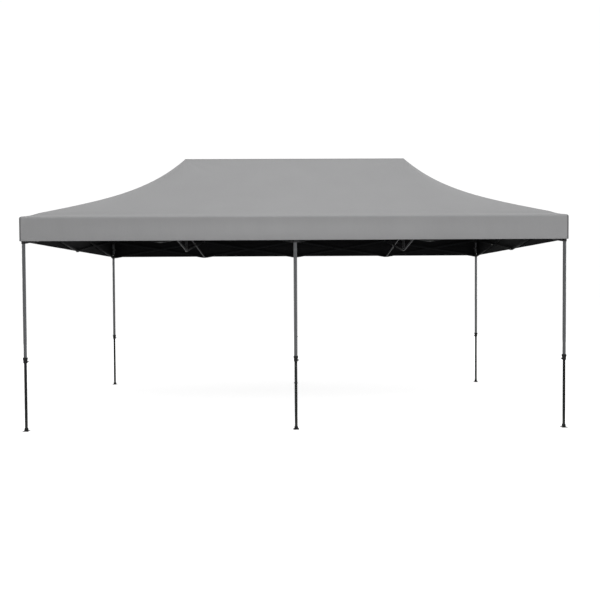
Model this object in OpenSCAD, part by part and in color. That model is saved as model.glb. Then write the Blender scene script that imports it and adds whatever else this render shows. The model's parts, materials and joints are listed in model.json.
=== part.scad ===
// Pop-up marquee with two peaks: a scissor-truss frame on six hexagonal legs under a sewn canopy.
// The origin is on the ground at the middle of the frame. X runs along the length, and the front
// faces -Y. The frame stands open. Every truss bay is a pair of equal bars that cross and are
// pinned at the middle, so all bays fold together as the lower brackets slide down the legs.

/* [Truss bars] */
// Level distance between the two end pivots of a bar, with the frame open
bar_run = 1417; // [1200:1:1500]
// Height of the upper pivots above the lower ones, with the frame open
pivot_rise = 245; // [200:1:300]
// Height of the rectangular tube of a bar
bar_h = 25; // [20:0.5:30]
// Width of the tube of a bar, across the truss
bar_t = 12; // [9:0.5:15]
// Wall of the tube of a bar
bar_wall = 1.5; // [1:0.1:2.5]
// Gap between the two bars of a crossing pair, and between a bar and its lug
bar_gap = 1; // [0.6:0.1:2]
// Clearance between the round end of a bar and the bracket that it turns beside
pivot_clear = 3; // [1.5:0.5:6]

/* [Pivot pins] */
// Radius of the pins
pin_r = 4; // [3:0.25:5]
// Radial clearance of a pin in its bore
pin_fit = 0.08; // [0.05:0.01:0.1]
// Radius of the heads on the pins
head_r = 7; // [6:0.5:9]
// Thickness of the heads on the pins
head_t = 2.5; // [1.5:0.5:4]
// Gap between a head and the bar that it holds
head_gap = 0.4; // [0.2:0.1:0.8]

/* [Legs] */
// Width of the outer leg tube across its flats
leg_flats = 34; // [32:0.5:40]
// Wall of the outer leg tube
leg_wall = 1.5; // [1.2:0.1:2.5]
// Width of the inner leg tube across its flats
inner_flats = 28; // [24:0.5:29]
// Wall of the inner leg tube
inner_wall = 1.5; // [1.2:0.1:2.5]
// How far the inner tube reaches up into the outer one
leg_overlap = 300; // [200:10:600]
// Height of the lower end of the outer tube above the ground
outer_end_z = 790; // [600:10:810]
// Gap between fixed pieces that seat on each other
seat_gap = 0.2; // [0.1:0.05:0.4]
// Thickness of the cap that closes the top of a leg
cap_t = 4; // [3:0.5:8]
// How far the top bracket reaches below its pivots
bracket_low = 34; // [20:1:60]

/* [Sliding brackets] */
// Gap between a sliding bracket and the flats of its leg
slide_fit = 0.6; // [0.3:0.1:1]
// Wall of the sliding and top brackets
bracket_wall = 3.5; // [3:0.5:6]
// How far a sliding bracket reaches below its pivots
slider_low = 20; // [14:1:40]
// How far a sliding bracket reaches above its pivots
slider_high = 45; // [14:1:60]

/* [Height locks] */
// Height of the lock collar
lock_h = 60; // [50:1:80]
// Radius of the flared top of the lock collar
lock_top_r = 26; // [24:0.5:30]
// Radius of the lower sleeve of the lock collar
lock_r = 21.5; // [20.5:0.5:24]
// Radius of the pull knob
knob_r = 6.5; // [5:0.5:7]
// How far the pull knob stands out of the collar
knob_out = 14; // [10:1:20]

/* [Feet] */
// Width of the square foot plate
foot_w = 64; // [60:1:80]
// Thickness of the foot plate
foot_t = 4; // [3:0.5:8]
// Height of the foot's socket above the plate
socket_h = 30; // [20:1:60]
// Radius of the peg hole in the foot plate
peg_hole_r = 4.5; // [3:0.25:5]
// Distance of the peg hole from the two nearest edges of the plate
peg_inset = 9; // [8:0.5:10]

/* [Peak masts] */
// Radius of the mast that holds up each peak
mast_r = 11; // [9:0.5:15]
// Wall of the mast
mast_wall = 1.5; // [1:0.1:2.5]
// Radial clearance of the mast in its guide
mast_fit = 0.4; // [0.2:0.1:0.8]
// Wall of the guide sleeve that the mast slides in
sleeve_wall = 3; // [2:0.5:5]
// Gap between the guide sleeve and the hub below it
sleeve_gap = 2; // [1:0.5:6]

/* [Canopy] */
// Height of the roof's edge above the ground
eave_z = 2342; // [2200:1:2500]
// Height of the peaks above the roof's edge
roof_rise = 975; // [700:5:1200]
// Height of the valance that hangs from the roof's edge
valance_drop = 258; // [180:1:320]
// Thickness of the canopy's cloth with its coating
cloth_t = 1.2; // [0.8:0.1:2]
// Clearance between the brackets and the valance
cloth_clear = 3; // [2:0.1:20]
// Depth of the upper pivots below the roof's edge
pivot_drop = 20; // [16:1:40]
// Share of the hip line's rise that is straight; the rest sweeps up to the peak
hip_straight = 0.65; // [0.4:0.05:0.9]
// Sharpness of the hip line's sweep up to the peak
hip_power = 3.8; // [2:0.1:5]
// Hollow of the long roof faces, as a share of the rise
long_sag = 0.07; // [0:0.01:0.2]
// Hollow of the end roof faces, as a share of the rise
end_sag = 0.25; // [0:0.01:0.4]

/* [Hidden] */
round_fn = 48;
pin_fn = 32;
hex_scale = 1 / cos(30);

// Bars
bar_len = sqrt(bar_run * bar_run + pivot_rise * pivot_rise);
bar_tilt = atan2(pivot_rise, bar_run);
end_r = bar_h / 2;
plane_far = bar_gap / 2 + bar_t;
upper_z = eave_z - pivot_drop;
lower_z = upper_z - pivot_rise;

// Brackets: hexagonal sleeves on the legs, square blocks between bays, round ones on the masts
sleeve_flats = leg_flats + 2 * (slide_fit + bracket_wall);
sleeve_corner = sleeve_flats / 2 * hex_scale;
guide_r = mast_r + mast_fit + sleeve_wall;
row_lug = sleeve_corner + pivot_clear + end_r;
joint_lug = plane_far + pivot_clear + end_r;
peak_lug = guide_r + pivot_clear + end_r;
side_lug = joint_lug + peak_lug;
block_h = bar_h + 2;
hub_h = bar_h + 3;

// Plan
joint_x = bar_run + row_lug + joint_lug;
leg_x = 2 * joint_x;
leg_y = bar_run + side_lug;
half_l = leg_x + sleeve_corner + cloth_clear;
half_w = leg_y + sleeve_flats / 2 + cloth_clear;

// Roof
peak_slope = roof_rise * (hip_straight + (1 - hip_straight) * hip_power) / min(half_l - joint_x, half_w);
mast_top = eave_z + roof_rise - 2 * seat_gap - mast_r * (sqrt(1 + peak_slope * peak_slope) - 1);
zone_cells = 8;
mid_cells = 6;
x_cells = 2 * zone_cells + mid_cells;
y_cells = 2 * zone_cells;

CORNERS = ["front_left", "front_right", "rear_left", "rear_right"];
LEGS = concat(CORNERS, ["front_mid", "rear_mid"]);
SIDES = ["left", "right"];
KINDS = ["down", "up"];

// Which way a named place lies from the middle: -1, 0 or 1. The letters that tell the names
// apart are the first one and, at the end, those of left, right and mid
function row_sign(place) = place[0] == "f" ? -1 : 1;
function side_sign(place) =
    place[len(place) - 1] == "d" ? 0 : place[len(place) - 2] == "f" ? -1 : 1;

// ---- Canopy surface -------------------------------------------------------------------------

function mix(a, b, w) = a + (b - a) * w;
function ease(w) = w * (1 + w - w * w);
function hip_line(t) = hip_straight * t + (1 - hip_straight) * pow(t, hip_power);
function sagged(t, sag) = (1 - sag) * t + sag * pow(t, 3);

// Rise of the roof at a point, from 0 at its edge to 1 at the ridge; u and v run in from the
// end and from the front or rear edge, and reach 1 at the peaks and at the ridge
function roof_share(u, v) =
    min(u, v) >= 1 ? 1
    : u >= v ? mix(hip_line(v), sagged(v, long_sag), ease((u - v) / (1 - v)))
    : mix(hip_line(u), sagged(u, end_sag), ease((v - u) / (1 - u)));
function roof_under(x, y) = eave_z + roof_rise * roof_share(
    min(1, (half_l - abs(x)) / (half_l - joint_x)), (half_w - abs(y)) / half_w);

// Stations of the roof's grid: even cells over each end and even cells between the peaks
function station_x(i) =
    i <= zone_cells ? -half_l + (half_l - joint_x) * i / zone_cells
    : i <= zone_cells + mid_cells ? -joint_x + 2 * joint_x * (i - zone_cells) / mid_cells
    : joint_x + (half_l - joint_x) * (i - zone_cells - mid_cells) / zone_cells;
function station_y(j) = -half_w + 2 * half_w * j / y_cells;

// Top of a leg, just under the cloth where the outer corner of its cap meets it
function leg_top(sx) = roof_under(abs(sx) * leg_x + sleeve_corner, leg_y + sleeve_flats / 2) - seat_gap;

// ---- Shared shapes --------------------------------------------------------------------------

// A cylinder along +Y from y0 to y1
module rod_y(r, y0, y1, fn) {
    translate([0, y1, 0]) rotate([90, 0, 0]) cylinder(h = y1 - y0, r = r, $fn = fn);
}

// A hexagonal prism with two flats facing the front and the rear
module hex(flats, z0, z1) {
    translate([0, 0, z0]) cylinder(h = z1 - z0, r = flats / 2 * hex_scale, $fn = 6);
}

module hex_tube(flats, wall, z0, z1) {
    difference() {
        hex(flats, z0, z1);
        hex(flats - 2 * wall, z0 - 1, z1 + 1);
    }
}

// A headed pin whose far side runs through a bar lying on the -Y side
module pin() {
    far = plane_far + head_gap + head_t;
    rod_y(pin_r, -far, plane_far, pin_fn);
    rod_y(head_r, -far, head_t - far, pin_fn);
}

// One lug along +X with its pin: a plate on the +Y side of the truss line, beside the bar's end
module lug(reach) {
    translate([0, bar_gap / 2, -end_r]) cube([reach, bar_t, bar_h]);
    translate([reach, 0, 0]) {
        rod_y(end_r, bar_gap / 2, plane_far, round_fn);
        rod_y(head_r, plane_far, plane_far + head_t, pin_fn);
        pin();
    }
}

// Lugs at the given turns about the upright; lower brackets have theirs on the other side
module lugs(turns, reach, z, lower = false) {
    for (turn = turns)
        translate([0, 0, z]) rotate([0, 0, turn]) mirror([0, lower ? 1 : 0, 0]) lug(reach);
}

// A straight tube bar along +X, with its two side walls rounded about the end pivots
module tube_bar(y0) {
    difference() {
        translate([0, y0, -end_r]) cube([bar_len, bar_t, bar_h]);
        translate([-1, y0 + bar_wall, bar_wall - end_r])
            cube([bar_len + 2, bar_t - 2 * bar_wall, bar_h - 2 * bar_wall]);
    }
    for (x = [0, bar_len], y = [y0, y0 + bar_t - bar_wall])
        translate([x, 0, 0]) rod_y(end_r, y, y + bar_wall, round_fn);
}

// The bar that falls from the first upper pivot; it carries the pin of the crossing, and on the
// sides of the frame the pin that joins it to the next bay, at pin_end 0 or 1
module down_bar(pin_end = undef) {
    translate([0, 0, upper_z]) rotate([0, bar_tilt, 0]) {
        difference() {
            tube_bar(-plane_far);
            for (end = [0, 1])
                if (end != pin_end)
                    translate([end * bar_len, 0, 0]) rod_y(pin_r + pin_fit, -plane_far - 1, 1, pin_fn);
        }
        translate([bar_len / 2, 0, 0]) mirror([0, 1, 0]) pin();
        if (!is_undef(pin_end))
            translate([pin_end * bar_len, 0, 0]) mirror([0, 1, 0]) pin();
    }
}

// The bar that rises from the first lower pivot, bored at both ends and at the crossing
module up_bar() {
    translate([0, 0, lower_z]) rotate([0, -bar_tilt, 0]) difference() {
        tube_bar(bar_gap / 2);
        for (x = [0, bar_len / 2, bar_len])
            translate([x, 0, 0]) rod_y(pin_r + pin_fit, -1, plane_far + 1, pin_fn);
    }
}

// ---- Truss bars -----------------------------------------------------------------------------

// A bar of a long row: bays 1 to 4 run from the left leg to the right one
module row_bar(row, k, kind) {
    starts = [row_lug - leg_x, joint_lug - joint_x, row_lug, joint_x + joint_lug];
    color("slategray") translate([starts[k - 1], row_sign(row) * leg_y, 0])
        if (kind == "down") down_bar(); else up_bar();
}

// A bar of an end of the frame: bay 1 is the front half, bay 2 the rear half
module side_bar(side, k, kind) {
    color("slategray")
        translate([side_sign(side) * leg_x, k == 1 ? side_lug - leg_y : 0, 0])
        rotate([0, 0, 90])
        if (kind == "down") down_bar(2 - k); else up_bar();
}

// A bar of the cross truss that carries a peak
module peak_bar(side, k, kind) {
    color("slategray")
        translate([side_sign(side) * joint_x, k == 1 ? joint_lug - leg_y : peak_lug, 0])
        rotate([0, 0, 90])
        if (kind == "down") down_bar(); else up_bar();
}

// ---- Legs -----------------------------------------------------------------------------------

// Turns of the lugs on a leg: inwards on a corner leg, both ways along the row on a middle one
function row_turns(sx) = sx == 0 ? [0, 180] : [sx < 0 ? 0 : 180];
function side_turns(sx, sy) = sx == 0 ? [] : [-90 * sy];

// Cast bracket that caps the leg and carries the upper ends of the bars
module top_bracket(sx, sy) {
    top = leg_top(sx);
    difference() {
        union() {
            hex(sleeve_flats, upper_z - bracket_low, top);
            lugs(row_turns(sx), row_lug, upper_z);
            lugs(side_turns(sx, sy), side_lug, upper_z);
        }
        hex(leg_flats + 2 * seat_gap, upper_z - bracket_low - 1, top - cap_t);
    }
}

// Collar that holds the leg at its height: a flared top on the outer tube, a lower sleeve on
// the inner one, and a pull knob towards the middle of the frame
module lock_collar(sx) {
    top = outer_end_z + lock_h / 3;
    low = top - lock_h;
    flare = lock_h / 4;
    difference() {
        union() {
            translate([0, 0, top - flare]) cylinder(h = flare, r = lock_top_r, $fn = round_fn);
            translate([0, 0, top - 2 * flare]) cylinder(h = flare, r1 = lock_r, r2 = lock_top_r, $fn = round_fn);
            translate([0, 0, low]) cylinder(h = lock_h - 2 * flare, r = lock_r, $fn = round_fn);
            translate([0, 0, low + flare]) rotate([0, sx > 0 ? -90 : 90, 0])
                cylinder(h = lock_r + knob_out, r = knob_r, $fn = round_fn);
        }
        hex(leg_flats + 2 * seat_gap, outer_end_z - seat_gap, top + 1);
        hex(inner_flats + 2 * seat_gap, low - 1, top);
    }
}

// Square plate with a flared socket for the inner tube and a peg hole at its outer corner
module foot(sx, sy) {
    socket_r = inner_flats / 2 * hex_scale + 3;
    peg = foot_w / 2 - peg_inset;
    difference() {
        union() {
            translate([-foot_w / 2, -foot_w / 2, 0]) cube([foot_w, foot_w, foot_t]);
            translate([0, 0, foot_t]) cylinder(h = socket_h, r1 = socket_r + 3, r2 = socket_r, $fn = round_fn);
        }
        hex(inner_flats + 2 * seat_gap, foot_t, foot_t + socket_h + 1);
        translate([(sx == 0 ? 1 : sx) * peg, sy * peg, -1])
            cylinder(h = foot_t + 2, r = peg_hole_r, $fn = pin_fn);
    }
}

module leg(place) {
    sx = side_sign(place);
    sy = row_sign(place);
    translate([sx * leg_x, sy * leg_y, 0]) {
        color("dimgray") top_bracket(sx, sy);
        color("gray") hex_tube(leg_flats, leg_wall, outer_end_z, leg_top(sx) - cap_t - seat_gap);
        color("black") lock_collar(sx);
        color("darkgray") hex_tube(inner_flats, inner_wall, foot_t + seat_gap, outer_end_z + leg_overlap);
        color("dimgray") foot(sx, sy);
    }
}

// Bracket that slides on the leg and carries the lower ends of the bars
module slider(place) {
    sx = side_sign(place);
    sy = row_sign(place);
    color("dimgray") translate([sx * leg_x, sy * leg_y, 0]) difference() {
        union() {
            hex(sleeve_flats, lower_z - slider_low, lower_z + slider_high);
            lugs(row_turns(sx), row_lug, lower_z, lower = true);
            lugs(side_turns(sx, sy), side_lug, lower_z, lower = true);
        }
        hex(leg_flats + 2 * slide_fit, lower_z - slider_low - 1, lower_z + slider_high + 1);
    }
}

// ---- Brackets between bays ------------------------------------------------------------------

// Three-way bracket where a cross truss meets a long row
module joint(place, z, lower) {
    sy = row_sign(place);
    color("black") translate([side_sign(place) * joint_x, sy * leg_y, 0]) {
        translate([-plane_far, -plane_far, z - block_h / 2]) cube([2 * plane_far, 2 * plane_far, block_h]);
        lugs([0, 180, -90 * sy], joint_lug, z, lower);
    }
}

// ---- Peaks ----------------------------------------------------------------------------------

// Upper bracket of a peak, with a long sleeve that keeps the mast in line through the whole fold
module peak_guide(side) {
    low = lower_z + hub_h / 2 + sleeve_gap;
    color("black") translate([side_sign(side) * joint_x, 0, 0]) difference() {
        union() {
            translate([0, 0, low]) cylinder(h = upper_z + block_h / 2 - low, r = guide_r, $fn = round_fn);
            lugs([90, -90], peak_lug, upper_z);
        }
        translate([0, 0, low - 1]) cylinder(h = upper_z + block_h - low, r = mast_r + mast_fit, $fn = round_fn);
    }
}

// Lower bracket of a peak, with the socket that the mast stands in
module peak_hub(side) {
    color("black") translate([side_sign(side) * joint_x, 0, 0]) difference() {
        union() {
            translate([0, 0, lower_z - hub_h / 2]) cylinder(h = hub_h, r = guide_r, $fn = round_fn);
            lugs([90, -90], peak_lug, lower_z, lower = true);
        }
        translate([0, 0, lower_z - hub_h / 2 + cap_t])
            cylinder(h = hub_h, r = mast_r + seat_gap, $fn = round_fn);
    }
}

// Mast tube with a domed plug that holds up the cloth
module mast(side) {
    foot_z = lower_z - hub_h / 2 + cap_t + seat_gap;
    color("silver") translate([side_sign(side) * joint_x, 0, 0]) {
        difference() {
            translate([0, 0, foot_z]) cylinder(h = mast_top - mast_r - foot_z, r = mast_r, $fn = round_fn);
            translate([0, 0, foot_z - 1])
                cylinder(h = mast_top - mast_r - foot_z - 2 * mast_wall + 1, r = mast_r - mast_wall, $fn = round_fn);
        }
        intersection() {
            translate([0, 0, mast_top - mast_r]) sphere(r = mast_r, $fn = round_fn);
            translate([-mast_r, -mast_r, mast_top - mast_r]) cube([2 * mast_r, 2 * mast_r, mast_r]);
        }
    }
}

// ---- Canopy ---------------------------------------------------------------------------------

// One sewn sheet over the frame: long faces, end faces and the hips that sweep up to the peaks
module canopy_roof() {
    row = y_cells + 1;
    count = (x_cells + 1) * row;
    surface = [for (i = [0:x_cells], j = [0:y_cells])
        let (x = station_x(i), y = station_y(j)) [x, y, roof_under(x, y)]];
    points = concat([for (p = surface) p + [0, 0, cloth_t]], surface);
    // The two triangles of a cell meet along the line that follows the nearest hip
    cells = [for (i = [0:x_cells - 1], j = [0:y_cells - 1])
        let (a = i * row + j, b = a + row, c = b + 1, d = a + 1,
            hip_up = (i < x_cells / 2) == (j < y_cells / 2))
        each hip_up ? [[a, c, b], [a, d, c]] : [[a, d, b], [b, d, c]]];
    rim = concat(
        [for (i = [0:x_cells]) i * row],
        [for (j = [1:y_cells]) x_cells * row + j],
        [for (i = [x_cells - 1:-1:0]) i * row + y_cells],
        [for (j = [y_cells - 1:-1:1]) j]);
    walls = [for (k = [0:len(rim) - 1])
        let (p = rim[k], q = rim[(k + 1) % len(rim)]) [p, q, q + count, p + count]];
    under = [for (f = cells) [f[2] + count, f[1] + count, f[0] + count]];
    color("darkgray") polyhedron(points = points, faces = concat(cells, under, walls));
}

// The strip that hangs from the roof's edge, one length on each side, butted at the corners
module canopy_valance() {
    for (s = [-1, 1]) {
        color("gray") translate([-half_l, s > 0 ? half_w - cloth_t : -half_w, eave_z - valance_drop])
            cube([2 * half_l, cloth_t, valance_drop]);
        color("gray") translate([s > 0 ? half_l - cloth_t : -half_l, cloth_t + seat_gap - half_w, eave_z - valance_drop])
            cube([cloth_t, 2 * (half_w - cloth_t - seat_gap), valance_drop]);
    }
}

// ---- Nodes ----------------------------------------------------------------------------------

for (row = ["front", "rear"], k = [1:4], kind = KINDS)
    row_bar(row, k, kind);
for (side = SIDES, k = [1:2], kind = KINDS)
    side_bar(side, k, kind);
for (side = SIDES, k = [1:2], kind = KINDS)
    peak_bar(side, k, kind);
for (place = LEGS)
    leg(place);
for (place = LEGS)
    slider(place);
for (place = CORNERS)
    joint(place, upper_z, false);
for (place = CORNERS)
    joint(place, lower_z, true);
for (side = SIDES)
    peak_guide(side);
for (side = SIDES)
    peak_hub(side);
for (side = SIDES)
    mast(side);
canopy_roof();
canopy_valance();
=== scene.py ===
import bpy, bmesh, json, math
from mathutils import Matrix, Vector


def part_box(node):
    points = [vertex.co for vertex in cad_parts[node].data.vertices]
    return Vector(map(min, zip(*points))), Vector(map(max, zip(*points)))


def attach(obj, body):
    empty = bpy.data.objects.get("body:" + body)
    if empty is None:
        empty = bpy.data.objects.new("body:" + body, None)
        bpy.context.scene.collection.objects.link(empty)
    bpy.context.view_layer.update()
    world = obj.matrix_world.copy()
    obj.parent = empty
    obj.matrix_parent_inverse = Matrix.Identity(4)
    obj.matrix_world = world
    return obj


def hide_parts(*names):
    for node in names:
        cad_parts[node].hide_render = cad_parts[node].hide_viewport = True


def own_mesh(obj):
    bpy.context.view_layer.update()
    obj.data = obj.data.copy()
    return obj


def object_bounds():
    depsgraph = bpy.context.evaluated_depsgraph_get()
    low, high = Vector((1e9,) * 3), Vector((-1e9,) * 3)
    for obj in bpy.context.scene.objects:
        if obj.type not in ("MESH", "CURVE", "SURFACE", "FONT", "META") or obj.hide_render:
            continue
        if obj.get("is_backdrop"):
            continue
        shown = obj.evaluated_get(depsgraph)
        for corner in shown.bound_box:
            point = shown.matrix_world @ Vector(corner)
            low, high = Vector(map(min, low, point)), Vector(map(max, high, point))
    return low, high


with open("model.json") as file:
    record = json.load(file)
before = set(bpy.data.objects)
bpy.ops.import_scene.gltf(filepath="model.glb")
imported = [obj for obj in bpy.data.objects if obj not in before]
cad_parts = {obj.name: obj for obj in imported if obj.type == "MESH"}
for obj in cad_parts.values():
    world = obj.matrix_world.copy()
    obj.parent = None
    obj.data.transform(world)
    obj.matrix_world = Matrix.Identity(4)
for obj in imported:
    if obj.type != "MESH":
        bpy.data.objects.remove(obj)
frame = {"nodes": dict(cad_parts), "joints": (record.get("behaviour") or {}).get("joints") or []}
cad_low, cad_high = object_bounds()


# ---------------------------------------------------------------- Camera
# At standing height, six metres in front of a long side.
def placed(name, data):
    """A new object in the scene, with its data."""
    obj = bpy.data.objects.new(name, data)
    bpy.context.scene.collection.objects.link(obj)
    return obj


camera = placed("camera", bpy.data.cameras.new("camera"))
camera.data.sensor_width, camera.data.lens, camera.data.clip_end = 36, 32.74, 200
eye = (-0.002, -7.477, 1.550)
yaw, pitch, tilt = map(math.radians, (-0.49, -1.18, -0.316))
ahead = Vector((-math.sin(yaw) * math.cos(pitch), math.cos(yaw) * math.cos(pitch), math.sin(pitch)))
level = Vector((math.cos(yaw), math.sin(yaw), 0))
upright = level.cross(ahead)
right = level * math.cos(tilt) + upright * math.sin(tilt)
above = upright * math.cos(tilt) - level * math.sin(tilt)
camera.matrix_world = Matrix.Translation(eye) @ Matrix((right, above, -ahead)).transposed().to_4x4()
bpy.context.scene.camera = camera
bpy.context.scene.view_settings.view_transform = "Standard"


# ---------------------------------------------------------------- Floor, background and light
# A pale studio floor that runs out to a white background, under one broad soft light from high in front.
# A small panel lights the right side, and two stand behind, so that the back isn't left in shade.
def srgb(code):
    """Linear colour of an sRGB hex code."""
    parts = [int(code[i:i + 2], 16) / 255 for i in (1, 3, 5)]
    return [p / 12.92 if p <= 0.04045 else ((p + 0.055) / 1.055) ** 2.4 for p in parts] + [1.0]


def feed(node, **inputs):
    """Sets inputs by name, or by number as i0, i1: a socket is linked, anything else is the value."""
    for key, value in inputs.items():
        number = key[1:] if key[0] == "i" else ""
        socket = node.inputs[int(number) if number.isdigit() else key.replace("_", " ")]
        if isinstance(value, bpy.types.NodeSocket):
            node.id_data.links.new(value, socket)
        else:
            socket.default_value = value
    return node


def add(tree, kind, at=(0, 0), props=(), **inputs):
    """Adds one node, and sets its properties and inputs."""
    node = tree.nodes.new(kind)
    node.location = at
    for key, value in dict(props).items():
        setattr(node, key, value)
    return feed(node, **inputs)


def new_finish(name):
    """A new material, with its node tree and its main shader."""
    made = bpy.data.materials.new(name)
    made.use_nodes = True
    return made, made.node_tree, made.node_tree.nodes["Principled BSDF"]


def shows_background(tree, x, y):
    """One for a ray from the camera, off gloss or through glass, and nought for light on the object."""
    path = add(tree, "ShaderNodeLightPath", (x, y))
    seen = add(tree, "ShaderNodeMath", (x + 150, y), {"operation": "MAXIMUM"},
               i0=path.outputs["Is Camera Ray"], i1=path.outputs["Is Glossy Ray"])
    return add(tree, "ShaderNodeMath", (x + 300, y), {"operation": "MAXIMUM"},
               i0=seen.outputs[0], i1=path.outputs["Is Transmission Ray"])


def soft_light(name, size, watts, place, aim):
    """A rectangular light at a place, facing a point."""
    light = placed(name, bpy.data.lights.new(name, "AREA"))
    light.data.shape, light.data.energy = "RECTANGLE", watts
    light.data.size, light.data.size_y = size
    light.location = place
    light.rotation_euler = (Vector(place) - Vector(aim)).to_track_quat("Z", "Y").to_euler()


far, under_feet = 60, 0.0005
floor = placed("floor", bpy.data.meshes.new("floor"))
floor.data.from_pydata([(-far, -far, 0), (far, -far, 0), (far, far, 0), (-far, far, 0)], [], [(0, 1, 2, 3)])
floor.location.z = cad_low.z - under_feet
floor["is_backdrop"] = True
# matt paint, faintly clouded, lifted to white for the camera just so far that the tent's shadow stays;
# here and below, the scale of a noise is one over the size of its marks in metres
paint, tree, shader = new_finish("studio floor paint")
colour = {"data_type": "RGBA"}
coords = add(tree, "ShaderNodeTexCoord", (-900, 0))
cloud = add(tree, "ShaderNodeTexNoise", (-700, 0), Vector=coords.outputs["Object"], Scale=0.8, Detail=4)
tint = add(tree, "ShaderNodeMix", (-450, 0), colour,
           i0=cloud.outputs["Fac"], i6=srgb("#E2E2E2"), i7=srgb("#E6E6E6"))
seen = shows_background(tree, -900, -300)
lifted = add(tree, "ShaderNodeMath", (-450, -300), {"operation": "MULTIPLY"}, i0=seen.outputs[0], i1=0.755)
feed(shader, Base_Color=tint.outputs[2], Roughness=0.85, Specular_IOR_Level=0.2)
feed(shader, Emission_Color=srgb("#FFFFFF"), Emission_Strength=lifted.outputs[0])
floor.data.materials.append(paint)

world = bpy.data.worlds.new("studio")
bpy.context.scene.world = world
world.use_nodes = True
tree = world.node_tree
seen = shows_background(tree, -700, 200)
soft = add(tree, "ShaderNodeBackground", (-300, 0), Color=srgb("#FFFFFF"), Strength=0.31)
white = add(tree, "ShaderNodeBackground", (-300, -150), Color=srgb("#FFFFFF"), Strength=1.02)
both = add(tree, "ShaderNodeMixShader", (0, 0), i0=seen.outputs[0], i1=soft.outputs[0], i2=white.outputs[0])
feed(tree.nodes["World Output"], Surface=both.outputs[0])

soft_light("softbox", (10, 6), 655, (0, -6, 9.8), (0, 0, 1.6))
soft_light("side panel", (4, 3), 110, (9, -3, 2.0), (0, -1.5, 1.1))
for x in (-8.5, 8.5):
    soft_light("back panel", (5, 2.5), 150, (x, 8, 2.4), (0, 1.5, 2.6))

# ---------------------------------------------------------------- Canopy cloth
# Polyester, grey outside with a black coating inside that is partly painted shade, drawn tight from two
# masts to the eaves, from which the valance hangs. It is cut where the frame folds, so that each piece goes
# with one leg, joint or bar, and at rest all of them lie on one curved sheet.
roof_low, roof_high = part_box("canopy_roof")
half_l, half_w, eave_z = roof_high.x, roof_high.y, roof_low.z
hem_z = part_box("canopy_valance")[0].z
mast_x = sum(corner.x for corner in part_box("right_mast")) / 2
cloth_t = 0.0012
proud = 0.003  # how far it stands off its own solid
rise = roof_high.z - cloth_t - eave_z
drop = eave_z + cloth_t + proud - hem_z
roll_wide, roll_in, roll_down = 0.020, 0.0043, 0.0024  # its roll over the edge of the frame
# valance: its upright waves, and the one level fold in its height
ripple, slow, quick, calm_side, calm_top = 0.0016, 9.7, 23.1, 0.25, 0.2
fullness, fold_tall, hem_tall = 0.005, 0.31, 0.0255
# roof: hip, long side and end as the share that runs straight and the power of the rest, then how much
# flatter it lies beside the eave, its waves as depth and radians per metre, and the creases that run out
# from each mast
hip_line, long_line, end_line, calm_hip = (0.65, 3.8), (0.93, 3), (0.75, 3), 0.3
hollow, hollow_wide = 0.008, 0.16
waves = ((0.0028, 3.1, 1.3, 1), (0.0018, 7.3, -4.1, 0), (0.0012, 11, 9, 0))
pull, pull_rays, pull_far, pull_wide = 0.0030, 14, 0.28, 0.26
seam_wide, seam_up = 0.0122, 0.0006
square_on, up_slope = 0.75, 1.15  # from a level distance to one square to a hip, or up the long side
just_up, just_down, near_ridge = 0.0012, -0.0018, 0.997  # beside the eave and ridge, where the slope breaks
pivot = {joint["name"]: Vector(joint["pos_m"]) for joint in frame["joints"]}
fold_turn = math.radians(next(joint["range_deg"][1] for joint in frame["joints"] if joint["name"] == "fold"))
long_half = pivot["front_bar_3_up_pivot"].x - pivot["fold"].x  # half a truss pair, opened
lift = pivot["fold"].z - pivot["slider_front_mid_pivot"].z
long_shut = math.hypot(long_half, lift / 2) * math.cos(math.atan2(lift, 2 * long_half) + fold_turn)
cut_1 = pivot["fold"].x + long_half  # middle leg to joint
cut_2 = pivot["front_bar_4_down_pivot"].x  # joint to corner leg
cut_y = pivot["left_side_bar_1_up_pivot"].y
side_foot = pivot["left_side_bar_1_down_pivot"]
leg_x, leg_y = side_foot.x, pivot["fold"].y
rim_share = (half_w + side_foot.y + 2 * long_shut) / half_w  # the two rims meet over the bundle


def mix(a, b, t):
    return a + (b - a) * t


def share(u, v):
    """How far up the rise the roof stands, from the shares of the way in from the end and the long side."""
    def line(t, kind):
        straight, power = kind
        return straight * t + (1 - straight) * t ** power

    def ease(t):
        return t * (1 + t - t * t)
    if min(u, v) >= 1:
        return 1.0
    if u >= v:
        return mix(line(v, hip_line), line(v, long_line), ease((u - v) / (1 - v)))
    return mix(line(u, hip_line), line(u, end_line), ease((v - u) / (1 - u)))


def roll(far):
    """How far the cloth has turned over the edge of the frame, from the distance to the eave or corner."""
    return max(0.0, 1 - far / roll_wide) ** 2


def away(distance, span):
    """Nought at a line in the cloth, and one from the span onwards."""
    return min(1.0, max(0.0, distance / span))


def reach(along, w):
    """How far a face runs to either side of its middle."""
    w = max(w, 0)
    return half_l - w * (half_l - mast_x) if along == "x" else half_w * (1 - w)


def beside(along):
    """The direction of the faces on either side."""
    return "y" if along == "x" else "x"


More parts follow.
